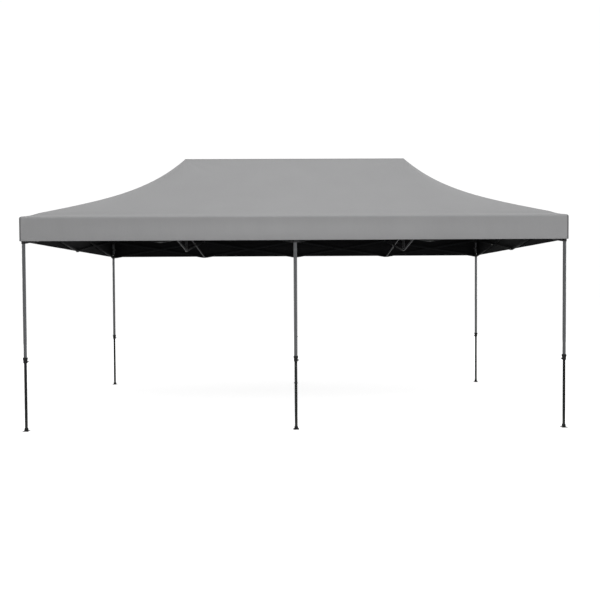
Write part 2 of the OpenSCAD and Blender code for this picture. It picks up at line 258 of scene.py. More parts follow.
def spot(face, q, w):
    """Outer side of the cloth: q along the eave, and w, the share up the slope or metres below the eave."""
    along, sign = face
    corner = reach(along, w) - abs(q)
    across = sign * reach(beside(along), w)
    x, y = (across, q) if along == "y" else (q, across)
    off_x, off_y = half_l - abs(x), half_w - abs(y)
    near_x, near_y = roll(off_x), roll(off_y)
    if w <= 0:
        free = away(corner, calm_side) * away(-w, calm_top)
        free *= away(abs(q), calm_side) if along == "x" else 1.0  # the middle leg's bracket is close behind
        across -= ripple * free * (sign - math.sin(q * slow + sign) - 0.7 * math.sin(q * quick + 2 * sign))
        full = fullness * (1 - (q / reach(along, 0)) ** 2) * away(corner, calm_side)
        turn = -2 * math.pi * w / fold_tall  # drawn in under the eave, fuller towards the hem
        across += sign * full * (0.25 - 0.25 * math.cos(turn) - math.sin(turn))
        x, y = (across, q) if along == "y" else (q, across)
        near_x, near_y, z = near_x * roll(-w), near_y * roll(-w), w
    else:
        calm = away(w, 0.1) * away(1 - w, 0.12) * away(corner, calm_hip)
        wave = sum(high * math.sin(a * x + b * y + c * sign) for high, a, b, c in waves)
        gap, bearing = math.hypot(abs(x) - mast_x, y), math.atan2(y, abs(x) - mast_x)
        crease = pull * math.sin(pull_rays * bearing + 0.8 * math.copysign(1, x))
        crease *= math.exp(-((gap - pull_far) / pull_wide) ** 2)
        flatter = hollow * math.sin(math.pi * min(off_x / hollow_wide, off_y / hollow_wide, 1)) ** 2
        z = rise * share(min(1.0, off_x / (half_l - mast_x)), off_y / half_w)
        z += calm * (wave + crease) - flatter
    x = math.copysign(abs(x) * (1 + proud / half_l) - roll_in * near_x, x)
    y = math.copysign(abs(y) * (1 + proud / half_w) - roll_in * near_y, y)
    return Vector((x, y, eave_z + cloth_t + proud - roll_down * max(near_x, near_y) + z))


def facing(face, q, w):
    """Outward normal of the cloth there, from two small steps along it."""
    along, sign = face
    step = 0.0015
    limit = reach(along, w)
    q = max(-limit + 2 * step, min(limit - 2 * step, q)) if limit > 3 * step else 0.0
    if w > 0:
        w = min(max(w, just_up), near_ridge)
        low, high = spot(face, q, w - 0.001), spot(face, q, w + 0.001)
    else:
        low, high = spot(face, q, w - step), spot(face, q, min(w + step, -1e-6))
    n = (spot(face, q + step, w) - spot(face, q - step, w)).cross(high - low)
    n.normalize()
    out = Vector((sign, 0, 0.3)) if along == "y" else Vector((0, sign, 0.3))
    return n if n.dot(out) > 0 else -n


def cut_normal(face, q, w):
    """The normal for shading: at the eave, hips, corners and ridge, the faces that meet share it."""
    def shared(face, q):
        if abs(w) < 1e-6:
            return facing(face, q, just_up) + facing(face, q, just_down)
        return facing(face, q, w)
    along, sign = face
    n = shared(face, q)
    if abs(reach(along, w) - abs(q)) < 1e-5:
        other = (beside(along), math.copysign(1, q))
        n = n.normalized() + shared(other, sign * reach(other[0], w)).normalized()
    if w > 1 - 1e-6:
        n = Vector((0, 0, 1))
    return n.normalized()


def seam_gap(face, q, w):
    """Distance to the seam on the nearest hip, corner or ridge, square to it."""
    along = face[0]
    return min(square_on * (reach(along, w) - abs(q)), up_slope * half_w * (1 - w) if along == "x" else 1.0)


# levels of the grid, closer at the eave, ridge, cuts and hem, then its lines beside a cut, drawn in where it
# is narrow, and the width of its other cells
rows = {round(k / 56, 5) for k in range(57)} | {0.0015, 0.004, 0.008, 0.013, 0.988, 0.996}
rows |= {round(cut, 6) for cut in (rim_share, (half_l - cut_2) / (half_l - mast_x), 1 + cut_y / half_w)}
skirt = [-drop + up for up in (0, 0.003, 0.012, 0.0245, 0.026)] + [-drop * (1 - k / 9) for k in range(2, 9)]
skirt += [-0.018, -0.012, -0.006, -0.002]
seam_lines, narrow, cell = (0, 0.0045, 0.0155, 0.0170, 0.0260), 0.3, 0.034


def cloth_grid(face, spans, w0, w1):
    """Points of a cut as (q, w), and the loops between them."""
    levels = [w for w in (skirt if w0 < 0 else []) + sorted(rows) if w0 - 1e-6 <= w <= w1 + 1e-6]
    at, spots, grid = {}, [], []
    for a, b in spans:
        count = max(4, round((b - a) / cell))
        lines = []
        for w in levels:
            limit = reach(face[0], w)
            lo, hi = max(a, -limit), min(b, limit)
            if lo > hi + 1e-5:
                break
            wide = hi - lo if hi - lo > 1e-5 else 0.0
            hi = lo + wide
            edge = [min(1, wide / narrow) * step for step in seam_lines]
            evenly = [mix(lo + edge[-1], hi - edge[-1], k / count) for k in range(1, count)]
            line = []
            for q in [lo + d for d in edge] + evenly + [hi - d for d in edge[::-1]]:
                key = (round(q, 6), round(w, 6))
                if key not in at:
                    at[key] = len(spots)
                    spots.append(key)
                line.append(at[key])
            lines.append(line)
            if wide == 0:
                break
        for lower, upper in zip(lines, lines[1:]):
            for k in range(len(lower) - 1):
                loop = [lower[k], lower[k + 1], upper[k + 1], upper[k]]
                loop = [v for i, v in enumerate(loop) if v != loop[i - 1]]
                if len(set(loop)) > 2:
                    grid.append(loop)
    return spots, grid


def cloth(name, face, spans, w0, w1, finish):
    """One cut of the cloth with two sides, its thread directions as UV in metres, and its seam distances."""
    spots, grid = cloth_grid(face, spans, w0, w1)
    normals = [cut_normal(face, q, w) for q, w in spots]
    outer, inner = [], []
    for (q, w), n in zip(spots, normals):  # a seam stands up, and the hem is folded inside, twice as thick
        p = spot(face, q, w)
        outer.append(p + n * (seam_up if seam_gap(face, q, w) < seam_wide else 0))
        r = p - n * (cloth_t * (2 if w < hem_tall - drop else 1))
        inner.append(Vector((r.x, r.y, min(r.z, p.z))))
    count = len(outer)
    middle = grid[len(grid) // 2]
    a, b, c = (outer[v] for v in middle[:3])
    if (b - a).cross(c - b).dot(normals[middle[0]]) < 0:
        grid = [loop[::-1] for loop in grid]
    uses = {}
    for loop in grid:
        for i, v in enumerate(loop):
            uses.setdefault(frozenset((v, loop[i - 1])), []).append((loop[i - 1], v))
    brim = [e[0] for e in uses.values() if len(e) == 1]
    faces = grid + [[v + count for v in loop[::-1]] for loop in grid]
    faces += [[q, p, p + count, q + count] for p, q in brim]
    mesh = bpy.data.meshes.new(name)
    mesh.from_pydata([*outer, *inner], [], faces)
    mesh.polygons.foreach_set("material_index", [0] * len(grid) + [1] * len(grid) + [0] * len(brim))
    for m in finish:
        mesh.materials.append(m)
    mesh.shade_smooth()
    slope = math.hypot(half_w if face[0] == "x" else half_l - mast_x, rise)
    flat = [(q, w * slope if w > 0 else w) for q, w in spots] * 2
    layer = mesh.uv_layers.new(name="thread")
    layer.data.foreach_set("uv", [c for loop in mesh.loops for c in flat[loop.vertex_index]])
    gaps = {"seam": [seam_gap(face, q, w) for q, w in spots], "hem": [drop + up for _, up in flat[:count]]}
    for label, values in gaps.items():
        mesh.attributes.new(label, "FLOAT", "POINT").data.foreach_set("value", values * 2)
    split = []
    for polygon, loop in zip(mesh.polygons, faces):
        if polygon.index < len(grid):
            split += [normals[v] for v in loop]
        elif polygon.index < 2 * len(grid):
            split += [-normals[v - count] for v in loop]
        else:
            split += [polygon.normal.copy()] * len(loop)
    mesh.normals_split_custom_set(split)
    area = sum(p.area for p in mesh.polygons[:len(grid)])
    tall, long = (max(p[i] for p in flat) - min(p[i] for p in flat) for i in (1, 0))
    return placed(name, mesh), (round(tall, 3), round(long, 3)), area


# Outer side: 600-denier polyester in plain weave, matt with a faint sheen. Its threads are drawn half a
# millimetre wide, a little coarser than real ones, so that they show close up. Slubs fleck it every four or
# five millimetres, and it has faded in patches of half a metre. The felled seams up the hips stand up and
# are painted darker, as painted shade along the seam; the folded hem only stands up.
outside, tree, shader = new_finish("coated grey polyester")
two_threads, stitch_pitch = 0.0011, 0.0045
thread = add(tree, "ShaderNodeUVMap", (-1900, 300), {"uv_map": "thread"})
parts = add(tree, "ShaderNodeSeparateXYZ", (-1700, 300), Vector=thread.outputs["UV"])
warp = add(tree, "ShaderNodeMath", (-1500, 380), {"operation": "MULTIPLY"},
           i0=parts.outputs["X"], i1=2 * math.pi / two_threads)
weft = add(tree, "ShaderNodeMath", (-1500, 220), {"operation": "MULTIPLY"},
           i0=parts.outputs["Y"], i1=2 * math.pi / two_threads)
warp = add(tree, "ShaderNodeMath", (-1320, 380), {"operation": "SINE"}, i0=warp.outputs[0])
weft = add(tree, "ShaderNodeMath", (-1320, 220), {"operation": "SINE"}, i0=weft.outputs[0])
weave = add(tree, "ShaderNodeMath", (-1140, 300), {"operation": "MULTIPLY"},
            i0=warp.outputs[0], i1=weft.outputs[0])
coords = add(tree, "ShaderNodeTexCoord", (-1900, -200))
pulled = add(tree, "ShaderNodeMapping", (-1700, -200), Vector=coords.outputs["Object"], Scale=(5.0, 1.1, 1.6))
crumple = add(tree, "ShaderNodeTexNoise", (-1500, -200),
              Vector=pulled.outputs[0], Scale=1.0, Detail=5, Roughness=0.45)
faded = add(tree, "ShaderNodeTexNoise", (-1500, -420), Vector=coords.outputs["Object"], Scale=1.7, Detail=3)
slub = add(tree, "ShaderNodeTexNoise", (-1500, -640), Vector=thread.outputs["UV"], Scale=220, Detail=2)
tint = add(tree, "ShaderNodeMix", (-1140, -420), colour,
           i0=faded.outputs["Fac"], i6=srgb("#969697"), i7=srgb("#9F9FA0"))
fleck = add(tree, "ShaderNodeMapRange", (-1140, -640),
            i0=slub.outputs["Fac"], i1=0.3, i2=0.7, i3=0.955, i4=1.035)
tint = add(tree, "ShaderNodeMix", (-940, -420), {**colour, "blend_type": "MULTIPLY"},
           i0=1.0, i6=tint.outputs[2], i7=fleck.outputs[0])
hip = add(tree, "ShaderNodeAttribute", (-1900, -900), {"attribute_name": "seam"})
hem = add(tree, "ShaderNodeAttribute", (-1900, -1100), {"attribute_name": "hem"})
seam = add(tree, "ShaderNodeMapRange", (-1500, -860),
           i0=hip.outputs["Fac"], i1=0.0105, i2=0.0125, i3=1.0, i4=0.0)
fold = add(tree, "ShaderNodeMapRange", (-1500, -1060),
           i0=hem.outputs["Fac"], i1=0.0245, i2=0.0265, i3=1.0, i4=0.0)
layer = add(tree, "ShaderNodeMath", (-1300, -960), {"operation": "MAXIMUM"},
            i0=seam.outputs[0], i1=fold.outputs[0])
# two rows of stitches up each hip, each stitch about three millimetres long
dash = add(tree, "ShaderNodeMath", (-1700, -1280), {"operation": "ADD"},
           i0=parts.outputs["X"], i1=parts.outputs["Y"])
dash = add(tree, "ShaderNodeMath", (-1500, -1280), {"operation": "PINGPONG"},
           i0=dash.outputs[0], i1=stitch_pitch / 2)
dash = add(tree, "ShaderNodeMath", (-1300, -1280), {"operation": "LESS_THAN"}, i0=dash.outputs[0], i1=0.0016)
row_1 = add(tree, "ShaderNodeMath", (-1500, -1440), {"operation": "COMPARE"},
            i0=hip.outputs["Fac"], i1=0.0025, i2=0.0006)
row_2 = add(tree, "ShaderNodeMath", (-1500, -1600), {"operation": "COMPARE"},
            i0=hip.outputs["Fac"], i1=0.0090, i2=0.0006)
sewn = add(tree, "ShaderNodeMath", (-1300, -1520), {"operation": "ADD"},
           i0=row_1.outputs[0], i1=row_2.outputs[0])
sewn = add(tree, "ShaderNodeMath", (-1120, -1400), {"operation": "MULTIPLY"},
           i0=sewn.outputs[0], i1=dash.outputs[0])
# painted shade: the hip seam band is darkened towards #626264, standing in for the shade along the felled
# seam
shade = add(tree, "ShaderNodeMath", (-940, -860), {"operation": "MULTIPLY"}, i0=seam.outputs[0], i1=0.9)
tint = add(tree, "ShaderNodeMix", (-820, -420), colour,
           i0=shade.outputs[0], i6=tint.outputs[2], i7=srgb("#626264"))
tint = add(tree, "ShaderNodeMix", (-700, -420), colour,
           i0=sewn.outputs[0], i6=tint.outputs[2], i7=srgb("#5C5C5E"))
rough = add(tree, "ShaderNodeMapRange", (-700, 100), i0=faded.outputs["Fac"], i3=0.62, i4=0.72)
bump = add(tree, "ShaderNodeBump", (-700, -100), Strength=0.35, Distance=0.00012, Height=weave.outputs[0])
bump = add(tree, "ShaderNodeBump", (-500, -100),
           Strength=0.5, Distance=0.0012, Height=layer.outputs[0], Normal=bump.outputs[0])
bump = add(tree, "ShaderNodeBump", (-300, -100),
           Strength=0.35, Distance=0.02, Height=crumple.outputs["Fac"], Normal=bump.outputs[0])
feed(shader, Base_Color=tint.outputs[2], Roughness=rough.outputs[0], Normal=bump.outputs[0])
feed(shader, Specular_IOR_Level=0.3, Sheen_Weight=0.08, Sheen_Roughness=0.5)

# Its near-black is partly painted shade, standing in for the shade under the roof.
# Inner side: black waterproof coating over the same weave, dull, with smooth tape pressed over the hip seams.
# The weave shows through as a grain of a millimetre, coarser than the real one so that it can be seen.
# Storage leaves long level creases in the coating, about 45 millimetres apart and a shade paler.
lining_with_painted_shade, tree, shader = new_finish("black waterproof coating with painted shade")
coords = add(tree, "ShaderNodeTexCoord", (-1100, 0))
mottle = add(tree, "ShaderNodeTexNoise", (-900, 100),
             Vector=coords.outputs["Object"], Scale=3.0, Detail=6, Roughness=0.6)
level = add(tree, "ShaderNodeVectorMath", (-1100, 300), {"operation": "MULTIPLY"},
            i0=coords.outputs["Object"], i1=(2.5, 2.5, 22))
crease = add(tree, "ShaderNodeTexNoise", (-900, 300),
             Vector=level.outputs[0], Scale=1.0, Detail=4, Roughness=0.55)
crease = add(tree, "ShaderNodeMapRange", (-780, 300), i0=crease.outputs["Fac"], i1=0.35, i2=0.65)
threads = add(tree, "ShaderNodeTexNoise", (-900, -150), Vector=coords.outputs["Object"], Scale=900, Detail=1)
hip = add(tree, "ShaderNodeAttribute", (-1100, -400), {"attribute_name": "seam"})
tape = add(tree, "ShaderNodeMapRange", (-900, -400),
           i0=hip.outputs["Fac"], i1=0.0115, i2=0.0125, i3=1.0, i4=0.0)
# painted shade: the coating's near-black also stands in for the shade under the roof
tint = add(tree, "ShaderNodeMix", (-650, 100), colour,
           i0=crease.outputs[0], i6=srgb("#080809"), i7=srgb("#141415"))
tint = add(tree, "ShaderNodeMix", (-450, 100), colour,
           i0=tape.outputs[0], i6=tint.outputs[2], i7=srgb("#1A1A1B"))
rough = add(tree, "ShaderNodeMapRange", (-450, -100), i0=mottle.outputs["Fac"], i3=0.55, i4=0.75)
bump = add(tree, "ShaderNodeBump", (-450, -250), Strength=0.3, Distance=0.0002, Height=threads.outputs["Fac"])
bump = add(tree, "ShaderNodeBump", (-250, -250),
           Strength=0.5, Distance=0.0005, Height=tape.outputs[0], Normal=bump.outputs[0])
feed(shader, Base_Color=tint.outputs[2], Roughness=rough.outputs[0], Normal=bump.outputs[0])
feed(shader, Specular_IOR_Level=0.08)

# Rims go with the legs and joints, and the fields with the bars: each cut is attached to the body it rides
# on. The axis, anchor and share kept for each cut are stored with it, and nothing here bends or folds it.
cloths, hems = {}, {}
keep_mid = (pivot["fold"].x + long_shut) / cut_1
keep_joint = (mast_x - pivot["lower_joint_front_right_pivot"].x + long_shut) / (mast_x - cut_1)
keep_leg = (half_l - pivot["leg_front_right_pivot"].x + long_shut) / (half_l - cut_2)
keep_field = 0.03
anchor_x, anchor_y, anchor_z = 2.95, 1.45, 2.33
two_sides = (outside, lining_with_painted_shade)
for sign, row in ((-1, "front"), (1, "rear")):
    face = ("x", sign)
    rims = [("mid", f"leg_{row}_mid", [(-cut_1, 0), (0, cut_1)], (0, 0, 0), keep_mid)]
    for e, end in ((-1, "left"), (1, "right")):
        spans = [sorted((e * a, e * b)) for a, b in ((cut_1, mast_x), (mast_x, cut_2))][::e]
        rims.append((f"joint_{end}", f"upper_joint_{row}_{end}", spans, (e * mast_x, 0, 0), keep_joint))
        spans = [sorted((e * cut_2, e * half_l))]
        rims.append((f"corner_{end}", f"leg_{row}_{end}", spans, (e * half_l, 0, 0), keep_leg))
    for label, body, spans, anchor, keep in rims:
        name = f"canopy_{row}_rim_{label}"
        cut = cloth(name, face, spans, -drop, rim_share, two_sides)
        cloths[name] = (*cut, body, (1, 0, 0), anchor, keep)
        hems[name] = (face, spans)
    slope = Vector((0, -sign * half_w, rise)).normalized()
    edges = [-half_l, -cut_2, -mast_x, -cut_1, 0, cut_1, mast_x, cut_2, half_l]
    for k, (a, b) in enumerate(zip(edges, edges[1:])):
        name, body = f"canopy_{row}_field_{k + 1}", f"{row}_bar_{k // 2 + 1}_{('down', 'up')[k % 2]}"
        cut = cloth(name, face, [(a, b)], rim_share, 1, two_sides)
        cloths[name] = (*cut, body, slope, (0, sign * anchor_y, anchor_z), keep_field)
for e, end in ((-1, "left"), (1, "right")):
    face = ("y", e)
    for sign, row in ((-1, "front"), (1, "rear")):
        name, spans = f"canopy_{end}_rim_{row}", [sorted((sign * a, sign * -cut_y)) for a in (half_w, 0)]
        cut = cloth(name, face, spans[::-sign], -drop, rim_share, two_sides)
        cloths[name] = (*cut, f"leg_{row}_{end}", (0, 1, 0), (0, sign * half_w, 0), rim_share)
        hems[name] = (face, spans)
    slope = Vector((-e * (half_l - mast_x), 0, rise)).normalized()
    edges = [-half_w, cut_y, 0, -cut_y, half_w]
    for k, (a, b) in enumerate(zip(edges, edges[1:])):
        name, body = f"canopy_{end}_field_{k + 1}", f"{end}_side_bar_{k // 2 + 1}_{('down', 'up')[k % 2]}"
        cut = cloth(name, face, [(a, b)], rim_share, 1, two_sides)
        cloths[name] = (*cut, body, slope, (e * anchor_x, 0, anchor_z), keep_field)
for name, (obj, flat, area, body, axis, anchor, keep) in cloths.items():
    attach(obj, body)
    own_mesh(obj)
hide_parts("canopy_roof")
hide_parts("canopy_valance")

# ---------------------------------------------------------------- Hem stitching
# Two rows of grey polyester thread, lockstitched through the folded hem, three millimetres to a stitch.
# The same tree of nodes later sets out the holes in the legs: copies at an even pitch along a line.
spaced = bpy.data.node_groups.new("evenly spaced copies", "GeometryNodeTree")
spaced.interface.new_socket("Line", in_out="INPUT", socket_type="NodeSocketGeometry")
for label, kind in (("Pitch", "Float"), ("Facing", "Vector"), ("Copy", "Object"), ("Finish", "Material")):
    spaced.interface.new_socket(label, in_out="INPUT", socket_type=f"NodeSocket{kind}")
spaced.interface.new_socket("Copies", in_out="OUTPUT", socket_type="NodeSocketGeometry")
given = add(spaced, "NodeGroupInput", (-900, 0))
line = add(spaced, "GeometryNodeMeshToCurve", (-700, 100), Mesh=given.outputs["Line"])
line = add(spaced, "GeometryNodeResampleCurve", (-500, 100), {"mode": "LENGTH"},
           Curve=line.outputs[0], Length=given.outputs["Pitch"])
tangent = add(spaced, "GeometryNodeInputTangent", (-700, -300))
turned = add(spaced, "FunctionNodeAlignRotationToVector", (-500, -100), {"axis": "Z"},
             Vector=given.outputs["Facing"])
turned = add(spaced, "FunctionNodeAlignRotationToVector", (-300, -200), {"axis": "X", "pivot_axis": "Z"},
             Rotation=turned.outputs[0], Vector=tangent.outputs[0])
copy = add(spaced, "GeometryNodeObjectInfo", (-500, -350), Object=given.outputs["Copy"])
copies = add(spaced, "GeometryNodeInstanceOnPoints", (-100, 0),
             Points=line.outputs[0], Instance=copy.outputs["Geometry"], Rotation=turned.outputs[0])
copies = add(spaced, "GeometryNodeRealizeInstances", (100, 0), Geometry=copies.outputs[0])
copies = add(spaced, "GeometryNodeSetMaterial", (300, 0),
             Geometry=copies.outputs[0], Material=given.outputs["Finish"])
add(spaced, "NodeGroupOutput", (500, 0), Copies=copies.outputs[0])


def set_out(name, lines, pitch, facing, copy, finish):
    """Copies of a small object along lines of points, as one plain mesh."""
    points, edges = [], []
    for line in lines:
        edges += [(len(points) + i, len(points) + i + 1) for i in range(len(line) - 1)]
        points += line
    guide = placed(name + "_line", bpy.data.meshes.new(name + "_line"))
    guide.data.from_pydata(points, edges, [])
    nodes = guide.modifiers.new("spaced", "NODES")
    nodes.node_group = spaced
    values = {"Pitch": pitch, "Facing": facing, "Copy": copy, "Finish": finish}
    for item in spaced.interface.items_tree:
        if item.in_out == "INPUT" and item.name in values:
            nodes[item.identifier] = values[item.name]
    bpy.context.view_layer.update()
    mesh = bpy.data.meshes.new_from_object(guide.evaluated_get(bpy.context.evaluated_depsgraph_get()))
    bpy.data.objects.remove(guide)
    mesh.name = name
    return placed(name, mesh)


def closed_skin(name, rings, turn=1):
    """A skin over a row of rings of points, closed at both ends. A turn of -1 faces it the other way."""
    sides, count = len(rings[0]), len(rings)
    around = [(i, (i + 1) % sides) for i in range(sides)]
    loops = [[sides * r + i, sides * r + j, sides * r + sides + j, sides * r + sides + i]
             for r in range(count - 1) for i, j in around]
    loops += [list(range(sides))[::-1], list(range(sides * (count - 1), sides * count))]
    skin = placed(name, bpy.data.meshes.new(name))
    skin.data.from_pydata([p for ring in rings for p in ring], [], [loop[::turn] for loop in loops])
    return skin


# thread: twisted polyester, matt, slightly darker than the cloth, its twist drawn as slanting ridges 0.7
# millimetres apart
thread, tree, shader = new_finish("grey polyester thread")
coords = add(tree, "ShaderNodeTexCoord", (-900, 0))
twist = add(tree, "ShaderNodeTexWave", (-700, -150), {"bands_direction": "DIAGONAL"},
            Vector=coords.outputs["Object"], Scale=900, Distortion=2)
fuzz = add(tree, "ShaderNodeTexNoise", (-700, 100), Vector=coords.outputs["Object"], Scale=700, Detail=3)
tint = add(tree, "ShaderNodeMix", (-450, 100), colour,
           i0=fuzz.outputs["Fac"], i6=srgb("#737375"), i7=srgb("#878789"))
bump = add(tree, "ShaderNodeBump", (-300, -200), Strength=0.4, Distance=0.0001, Height=twist.outputs["Fac"])
feed(shader, Base_Color=tint.outputs[2], Roughness=0.7, Normal=bump.outputs[0])

foot = -0.0003
stitch_shape = ((-0.0015, 0.0002, -0.0001), (-0.0008, 0.0004, 0.0004),
                (0.0008, 0.0004, 0.0004), (0.0015, 0.0002, -0.0001))  # along the seam, half width, height
rings = [[(x, -wide, foot), (x, wide, foot), (x, wide * 0.6, high), (x, -wide * 0.6, high)]
         for x, wide, high in stitch_shape]
stitch = closed_skin("stitch", rings, -1)
stitch.data.materials.append(thread)
seam_rows, off_end, guide_step = (0.0045, 0.0215), 0.002, 0.02
for name, (face, spans) in hems.items():
    along, sign = face
    outward = (sign, 0, 0) if along == "y" else (0, sign, 0)
    lines = []
    for low, high in spans:
        steps = max(8, round((high - low) / guide_step))
        places = [mix(low + off_end, high - off_end, k / steps) for k in range(steps + 1)]
        lines += [[spot(face, q, up - drop) for q in places] for up in seam_rows]
    sewn = set_out(name.replace("canopy", "stitches"), lines, stitch_pitch, outward, stitch, thread)
    body, axis, anchor, keep = cloths[name][3:]
    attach(sewn, body)
    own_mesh(sewn)
bpy.data.objects.remove(stitch)

# ---------------------------------------------------------------- Canopy ties
# Black polypropylene webbing, sewn to the inside of the valance at both ends and closed round the top of each
# leg. It is coarsely woven, in ribs two to three millimetres wide, their tops painted paler as a painted
# sheen.
webbing, tree, shader = new_finish("black polypropylene webbing")
strap = add(tree, "ShaderNodeUVMap", (-1300, 0), {"uv_map": "weave"})
parts = add(tree, "ShaderNodeSeparateXYZ", (-1100, 0), Vector=strap.outputs["UV"])
rib_pitch, cross_pitch = 0.0022, 0.0030
rib = add(tree, "ShaderNodeMath", (-900, 100), {"operation": "MULTIPLY"},
          i0=parts.outputs["X"], i1=2 * math.pi / rib_pitch)
rib = add(tree, "ShaderNodeMath", (-750, 100), {"operation": "SINE"}, i0=rib.outputs[0])
cross = add(tree, "ShaderNodeMath", (-900, -80), {"operation": "MULTIPLY"},
            i0=parts.outputs["Y"], i1=2 * math.pi / cross_pitch)
cross = add(tree, "ShaderNodeMath", (-750, -80), {"operation": "SINE"}, i0=cross.outputs[0])
weave = add(tree, "ShaderNodeMath", (-600, 0), {"operation": "MULTIPLY"},
            i0=rib.outputs[0], i1=cross.outputs[0])
# painted highlight: the tops of the ribs are paler, standing in for their low shine
tint = add(tree, "ShaderNodeMapRange", (-450, 200), i0=weave.outputs[0], i1=-1.0)
tint = add(tree, "ShaderNodeMix", (-300, 200), colour,
           i0=tint.outputs[0], i6=srgb("#101011"), i7=srgb("#1E1E20"))
bump = add(tree, "ShaderNodeBump", (-300, -150), Strength=0.6, Distance=0.0003, Height=weave.outputs[0])
feed(shader, Base_Color=tint.outputs[2], Roughness=0.6, Normal=bump.outputs[0])

tie_wide, tie_thick, slack = 0.025, 0.0015, 0.0006
tail, short_tail, tail_bend = 0.034, 0.0275, 0.024  # the short one is beside the corner
bracket_low, bracket_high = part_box("slider_front_mid")
sleeve = (bracket_high.y - bracket_low.y) / 2
bracket_wall, flat_to_corner = 0.0041, 1.1547  # a hexagon's corners stand that much further out
round_r = flat_to_corner * (sleeve - bracket_wall) + slack + tie_thick / 2
tie_z = (pivot["fold"].z + pivot["slider_front_mid_pivot"].z) / 2
leg_spots = {f"{row}_{place}": (x, y) for row, y in (("front", leg_y), ("rear", -leg_y))
             for place, x in (("left", leg_x), ("mid", 0), ("right", -leg_x))}
for place, (x, y) in leg_spots.items():
    out = math.copysign(1, y)
    cloth_y = abs(spot(("x", out), max(-half_l, min(half_l, x)), tie_z - eave_z).y)
    flat_y = cloth_y - abs(leg_y) - 2 * cloth_t - tie_thick / 2
    ends = [tail if place.endswith("mid") or side * x < 0 else short_tail for side in (-1, 1)]
    way = [(-ends[0], flat_y), (-(ends[0] + tail_bend) / 2, flat_y), (-tail_bend, flat_y)]
    around = [math.radians(a) for a in range(132, 409, 6)]
    way += [(round_r * math.cos(a), round_r * math.sin(a)) for a in around]
    way += [(tail_bend, flat_y), ((ends[1] + tail_bend) / 2, flat_y), (ends[1], flat_y)]
    way = [Vector((x + px, y + out * py, 0)) for px, py in way]
    rings, run = [], [0.0]
    for i, point in enumerate(way):
        ahead = (way[min(i + 1, len(way) - 1)] - way[max(i - 1, 0)]).normalized()
        half_t = Vector((-ahead.y, ahead.x, 0)) * tie_thick / 2
        rings.append([point + off + Vector((0, 0, tie_z + up * tie_wide / 2))
                      for off, up in ((-half_t, -1), (half_t, -1), (half_t, 1), (-half_t, 1))])
        if i:
            run.append(run[-1] + (point - way[i - 1]).length)
    tie = closed_skin(f"canopy_tie_{place}", rings)
    corners = [loop.vertex_index for loop in tie.data.loops]
    layer = tie.data.uv_layers.new(name="weave")
    layer.data.foreach_set("uv", [c for v in corners for c in (run[v // 4], tie_wide if v % 4 > 1 else 0.0)])
    bm = bmesh.new()
    bm.from_mesh(tie.data)
    bmesh.ops.recalc_face_normals(bm, faces=bm.faces)
    bm.to_mesh(tie.data)
    bm.free()
    tie.data.materials.append(webbing)
    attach(tie, f"leg_{place}")


# ---------------------------------------------------------------- Legs
# Hexagonal steel tubes, the outer one in grey hammertone powder coat and the inner one in near-black, with a
# black nylon bracket at the top, a nylon height lock where the inner tube slides in, and a steel foot plate
# under a nylon socket.
def dress(finish, fits):
    """Gives the finish to every part of the frame whose name fits."""
    for name in frame["nodes"]:
        if fits(name):
            frame["nodes"][name].material_slots[0].material = finish


lock_low, lock_high = 0.7495, 0.8105
plate_t, foot_high, bracket_tall = 0.0045, 0.0345, 0.0342
# hammertone: veined dimples four millimetres across with a soft metallic glint; nylon: dull black with a
# grain of 0.7 millimetres; road dust greys the lowest 160 millimetres
legs, tree, shader = new_finish("hammertone powder coat with nylon fittings")
coords = add(tree, "ShaderNodeTexCoord", (-1700, 0))
parts = add(tree, "ShaderNodeSeparateXYZ", (-1500, -300), Vector=coords.outputs["Object"])
top = add(tree, "ShaderNodeMath", (-1300, -250), {"operation": "GREATER_THAN"},
          i0=parts.outputs["Z"], i1=pivot["fold"].z - bracket_tall)
socket = add(tree, "ShaderNodeMath", (-1300, -800), {"operation": "COMPARE"},
             i0=parts.outputs["Z"], i1=0.5 * (plate_t + foot_high), i2=0.5 * (foot_high - plate_t))
over = add(tree, "ShaderNodeMath", (-1300, -400), {"operation": "GREATER_THAN"},
           i0=parts.outputs["Z"], i1=lock_low)
under = add(tree, "ShaderNodeMath", (-1300, -550), {"operation": "LESS_THAN"},
            i0=parts.outputs["Z"], i1=lock_high)
lock = add(tree, "ShaderNodeMath", (-1100, -450), {"operation": "MULTIPLY"},
           i0=over.outputs[0], i1=under.outputs[0])
nylon = add(tree, "ShaderNodeMath", (-1000, -350), {"operation": "MAXIMUM"},
            i0=top.outputs[0], i1=lock.outputs[0])
nylon = add(tree, "ShaderNodeMath", (-850, -350), {"operation": "MAXIMUM"},
            i0=nylon.outputs[0], i1=socket.outputs[0])
hammer = add(tree, "ShaderNodeTexVoronoi", (-1300, 300), {"feature": "SMOOTH_F1"},
             Vector=coords.outputs["Object"], Scale=260)
mottle = add(tree, "ShaderNodeTexNoise", (-1300, 100), Vector=coords.outputs["Object"], Scale=14, Detail=5)
speck = add(tree, "ShaderNodeTexNoise", (-1300, -80), Vector=coords.outputs["Object"], Scale=1400, Detail=2)
silver = add(tree, "ShaderNodeMix", (-1100, 500), colour,
             i0=mottle.outputs["Fac"], i6=srgb("#58595B"), i7=srgb("#646567"))
dark = add(tree, "ShaderNodeMix", (-1100, 700), colour,
           i0=mottle.outputs["Fac"], i6=srgb("#17181A"), i7=srgb("#202123"))
coat = add(tree, "ShaderNodeMix", (-900, 200), colour,
           i0=over.outputs[0], i6=dark.outputs[2], i7=silver.outputs[2])
vein = add(tree, "ShaderNodeMapRange", (-1100, 300),
           i0=hammer.outputs["Distance"], i1=0.15, i2=0.6, i3=1.06, i4=0.84)
coat = add(tree, "ShaderNodeMix", (-700, 200), {**colour, "blend_type": "MULTIPLY"},
           i0=1.0, i6=coat.outputs[2], i7=vein.outputs[0])
